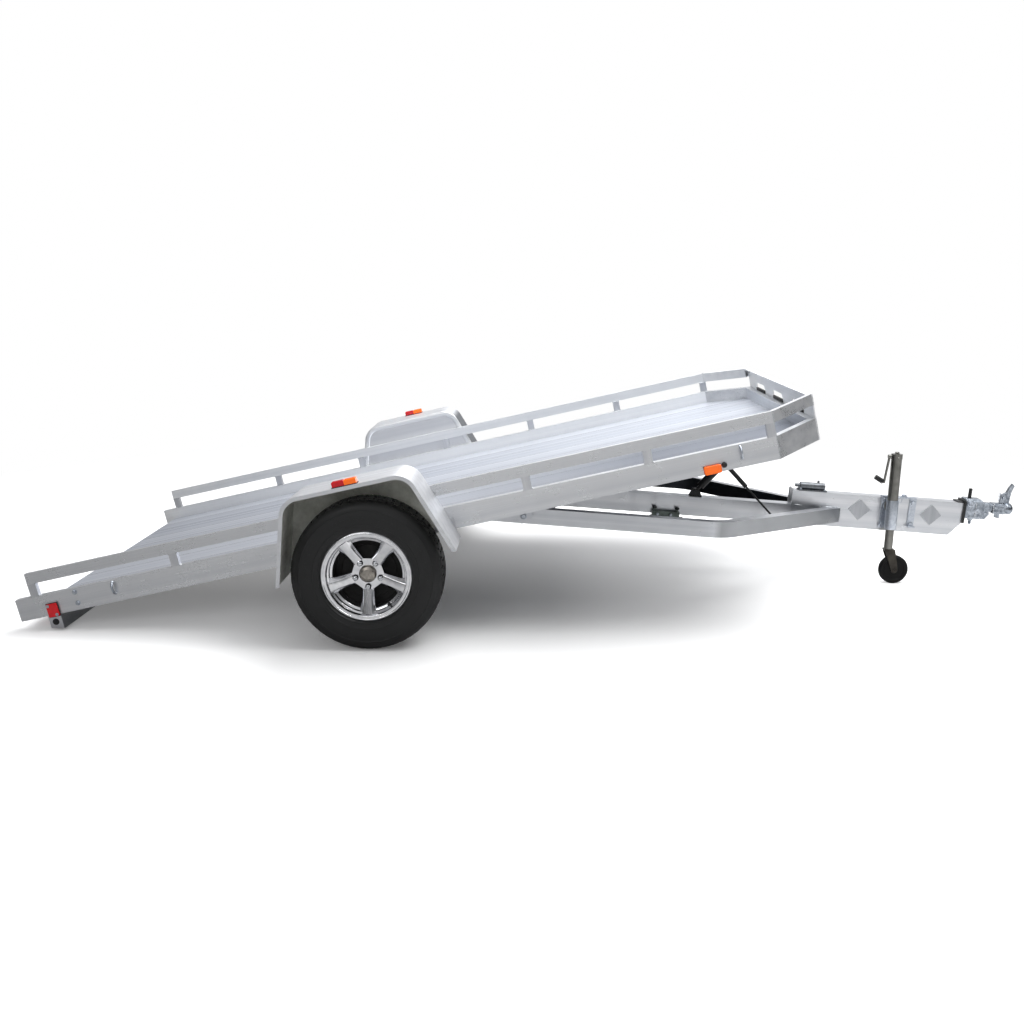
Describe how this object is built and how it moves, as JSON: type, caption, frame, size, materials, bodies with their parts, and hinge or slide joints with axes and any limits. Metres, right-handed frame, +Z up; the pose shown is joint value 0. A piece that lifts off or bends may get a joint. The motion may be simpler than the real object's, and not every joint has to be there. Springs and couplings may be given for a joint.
{
  "type": "tilt utility trailer",
  "caption": "Single-axle aluminium tilt-bed utility trailer with low open rails, chamfered front corners, box fenders and a hinged A-frame tongue on a swivel jack.",
  "frame": {"origin": "on the ground at the centre of the whole trailer, bed tilted and tongue on its jack", "axes": "+X forward to the coupler, +Y to the left side, +Z up"},
  "size_m": [4.8998, 2.578, 1.069],
  "materials": {
    "amber_lens": "gloss",
    "black_paint": "satin",
    "black_plastic": "matt",
    "black_rubber": "matt",
    "chrome_rod": "bright",
    "galvanised_steel": "hot-dip galvanised",
    "green_enamel": "semi-gloss",
    "mill_aluminium": "mill finish",
    "polished_alloy": "polished",
    "red_lens": "gloss",
    "tyre": "matt",
    "zinc_plated_steel": "zinc plated"
  },
  "bodies": {
    "root": {"axle_brackets": "galvanised_steel", "axle_tube": "galvanised_steel", "beam_end_plates": "mill_aluminium", "beam_grommets": "black_rubber", "corner_rails": "mill_aluminium", "cross_members": "mill_aluminium", "damper_head": "zinc_plated_steel", "deck_planks": "mill_aluminium", "fender_lamps_amber": "amber_lens", "fender_lamps_red": "red_lens", "fender_left": "mill_aluminium", "fender_right": "mill_aluminium", "front_beam": "mill_aluminium", "front_panel": "mill_aluminium", "front_side_lamps": "amber_lens", "hinge_ears": "mill_aluminium", "rear_beam": "mill_aluminium", "rear_side_lamps": "red_lens", "side_posts": "mill_aluminium", "side_rail_left": "mill_aluminium", "side_rail_right": "mill_aluminium", "strut_head": "black_paint", "tail_lamps": "red_lens", "top_rail_left": "mill_aluminium", "top_rail_right": "mill_aluminium", "torsion_arms": "galvanised_steel"},
    "wheel_left": {"tyre_left": "tyre", "rim_left": "polished_alloy", "hub_left": "black_paint", "centre_cap_left": "polished_alloy"},
    "wheel_right": {"tyre_right": "tyre", "rim_right": "polished_alloy", "hub_right": "black_paint", "centre_cap_right": "polished_alloy"},
    "tongue": {"tongue_spine": "mill_aluminium", "tongue_upper_tube": "mill_aluminium", "upper_end_plate": "mill_aluminium", "tongue_arm_left": "mill_aluminium", "tongue_arm_right": "mill_aluminium", "tongue_cross": "mill_aluminium", "diamond_plates": "mill_aluminium", "bed_latch": "zinc_plated_steel", "damper_foot": "zinc_plated_steel", "strut_foot": "black_paint", "tilt_valve": "green_enamel", "coupler_plate": "black_paint", "coupler_body": "zinc_plated_steel", "coupler_lever": "zinc_plated_steel", "jack_bracket": "zinc_plated_steel"},
    "damper_cylinder": {"damper_cylinder": "black_paint"},
    "damper_rod": {"damper_rod": "chrome_rod"},
    "strut_cylinder": {"strut_cylinder": "black_paint"},
    "strut_rod": {"strut_rod": "black_paint"},
    "jack": {"jack_housing": "zinc_plated_steel", "jack_crank": "zinc_plated_steel", "jack_grip": "black_plastic"},
    "jack_ram": {"jack_ram": "zinc_plated_steel"},
    "caster_fork": {"caster_fork": "zinc_plated_steel"},
    "caster_wheel": {"caster_wheel": "black_rubber"}
  },
  "joints": [
    {"name": "wheel_left_spin", "type": "hinge", "parent": "root", "child": "wheel_left", "pos_m": [-0.7996, 1.1675, 0.3315], "axis": [0, 1, 0], "continuous": true},
    {"name": "wheel_right_spin", "type": "hinge", "parent": "root", "child": "wheel_right", "pos_m": [-0.7996, -1.1675, 0.3315], "axis": [0, 1, 0], "continuous": true},
    {"name": "bed_tilt", "type": "hinge", "parent": "root", "child": "tongue", "pos_m": [-0.13664, 0, 0.47373], "axis": [0, -1, 0], "range_deg": [0, 16.8]},
    {"name": "damper_swing", "type": "hinge", "parent": "tongue", "child": "damper_cylinder", "pos_m": [0.77072, 0, 0.47435], "axis": [0, 1, 0], "range_deg": [0, 51.66]},
    {"name": "damper_slide", "type": "slide", "parent": "damper_cylinder", "child": "damper_rod", "axis": [-0.6812, 0, -0.7321], "range_m": [0, 0.10243]},
    {"name": "strut_swing", "type": "hinge", "parent": "root", "child": "strut_cylinder", "pos_m": [0.811, -0.262, 0.73547], "axis": [0, -1, 0], "range_deg": [0, 53.02]},
    {"name": "strut_slide", "type": "slide", "parent": "strut_cylinder", "child": "strut_rod", "axis": [-0.6792, 0, 0.7339], "range_m": [0, 0.18007]},
    {"name": "jack_swing", "type": "hinge", "parent": "tongue", "child": "jack", "pos_m": [1.78388, -0.097, 0.41226], "axis": [0, -1, 0], "range_deg": [0, 90]},
    {"name": "jack_extend", "type": "slide", "parent": "jack", "child": "jack_ram", "axis": [-0.0227, 0, -0.9997], "range_m": [-0.09, 0.15]},
    {"name": "caster_swivel", "type": "hinge", "parent": "jack_ram", "child": "caster_fork", "pos_m": [1.77875, -0.097, 0.18632], "axis": [-0.0227, 0, -0.9997], "continuous": true},
    {"name": "caster_spin", "type": "hinge", "parent": "caster_fork", "child": "caster_wheel", "pos_m": [1.81225, -0.097, 0.076], "axis": [0, 1, 0], "continuous": true}
  ],
  "couplings": [
    {"joint": "damper_swing", "follows": "bed_tilt", "ratio": 3.0452},
    {"joint": "damper_slide", "follows": "bed_tilt", "m_per_rad": 0.34591},
    {"joint": "strut_swing", "follows": "bed_tilt", "ratio": 3.1262},
    {"joint": "strut_slide", "follows": "bed_tilt", "m_per_rad": 0.61071}
  ]
}
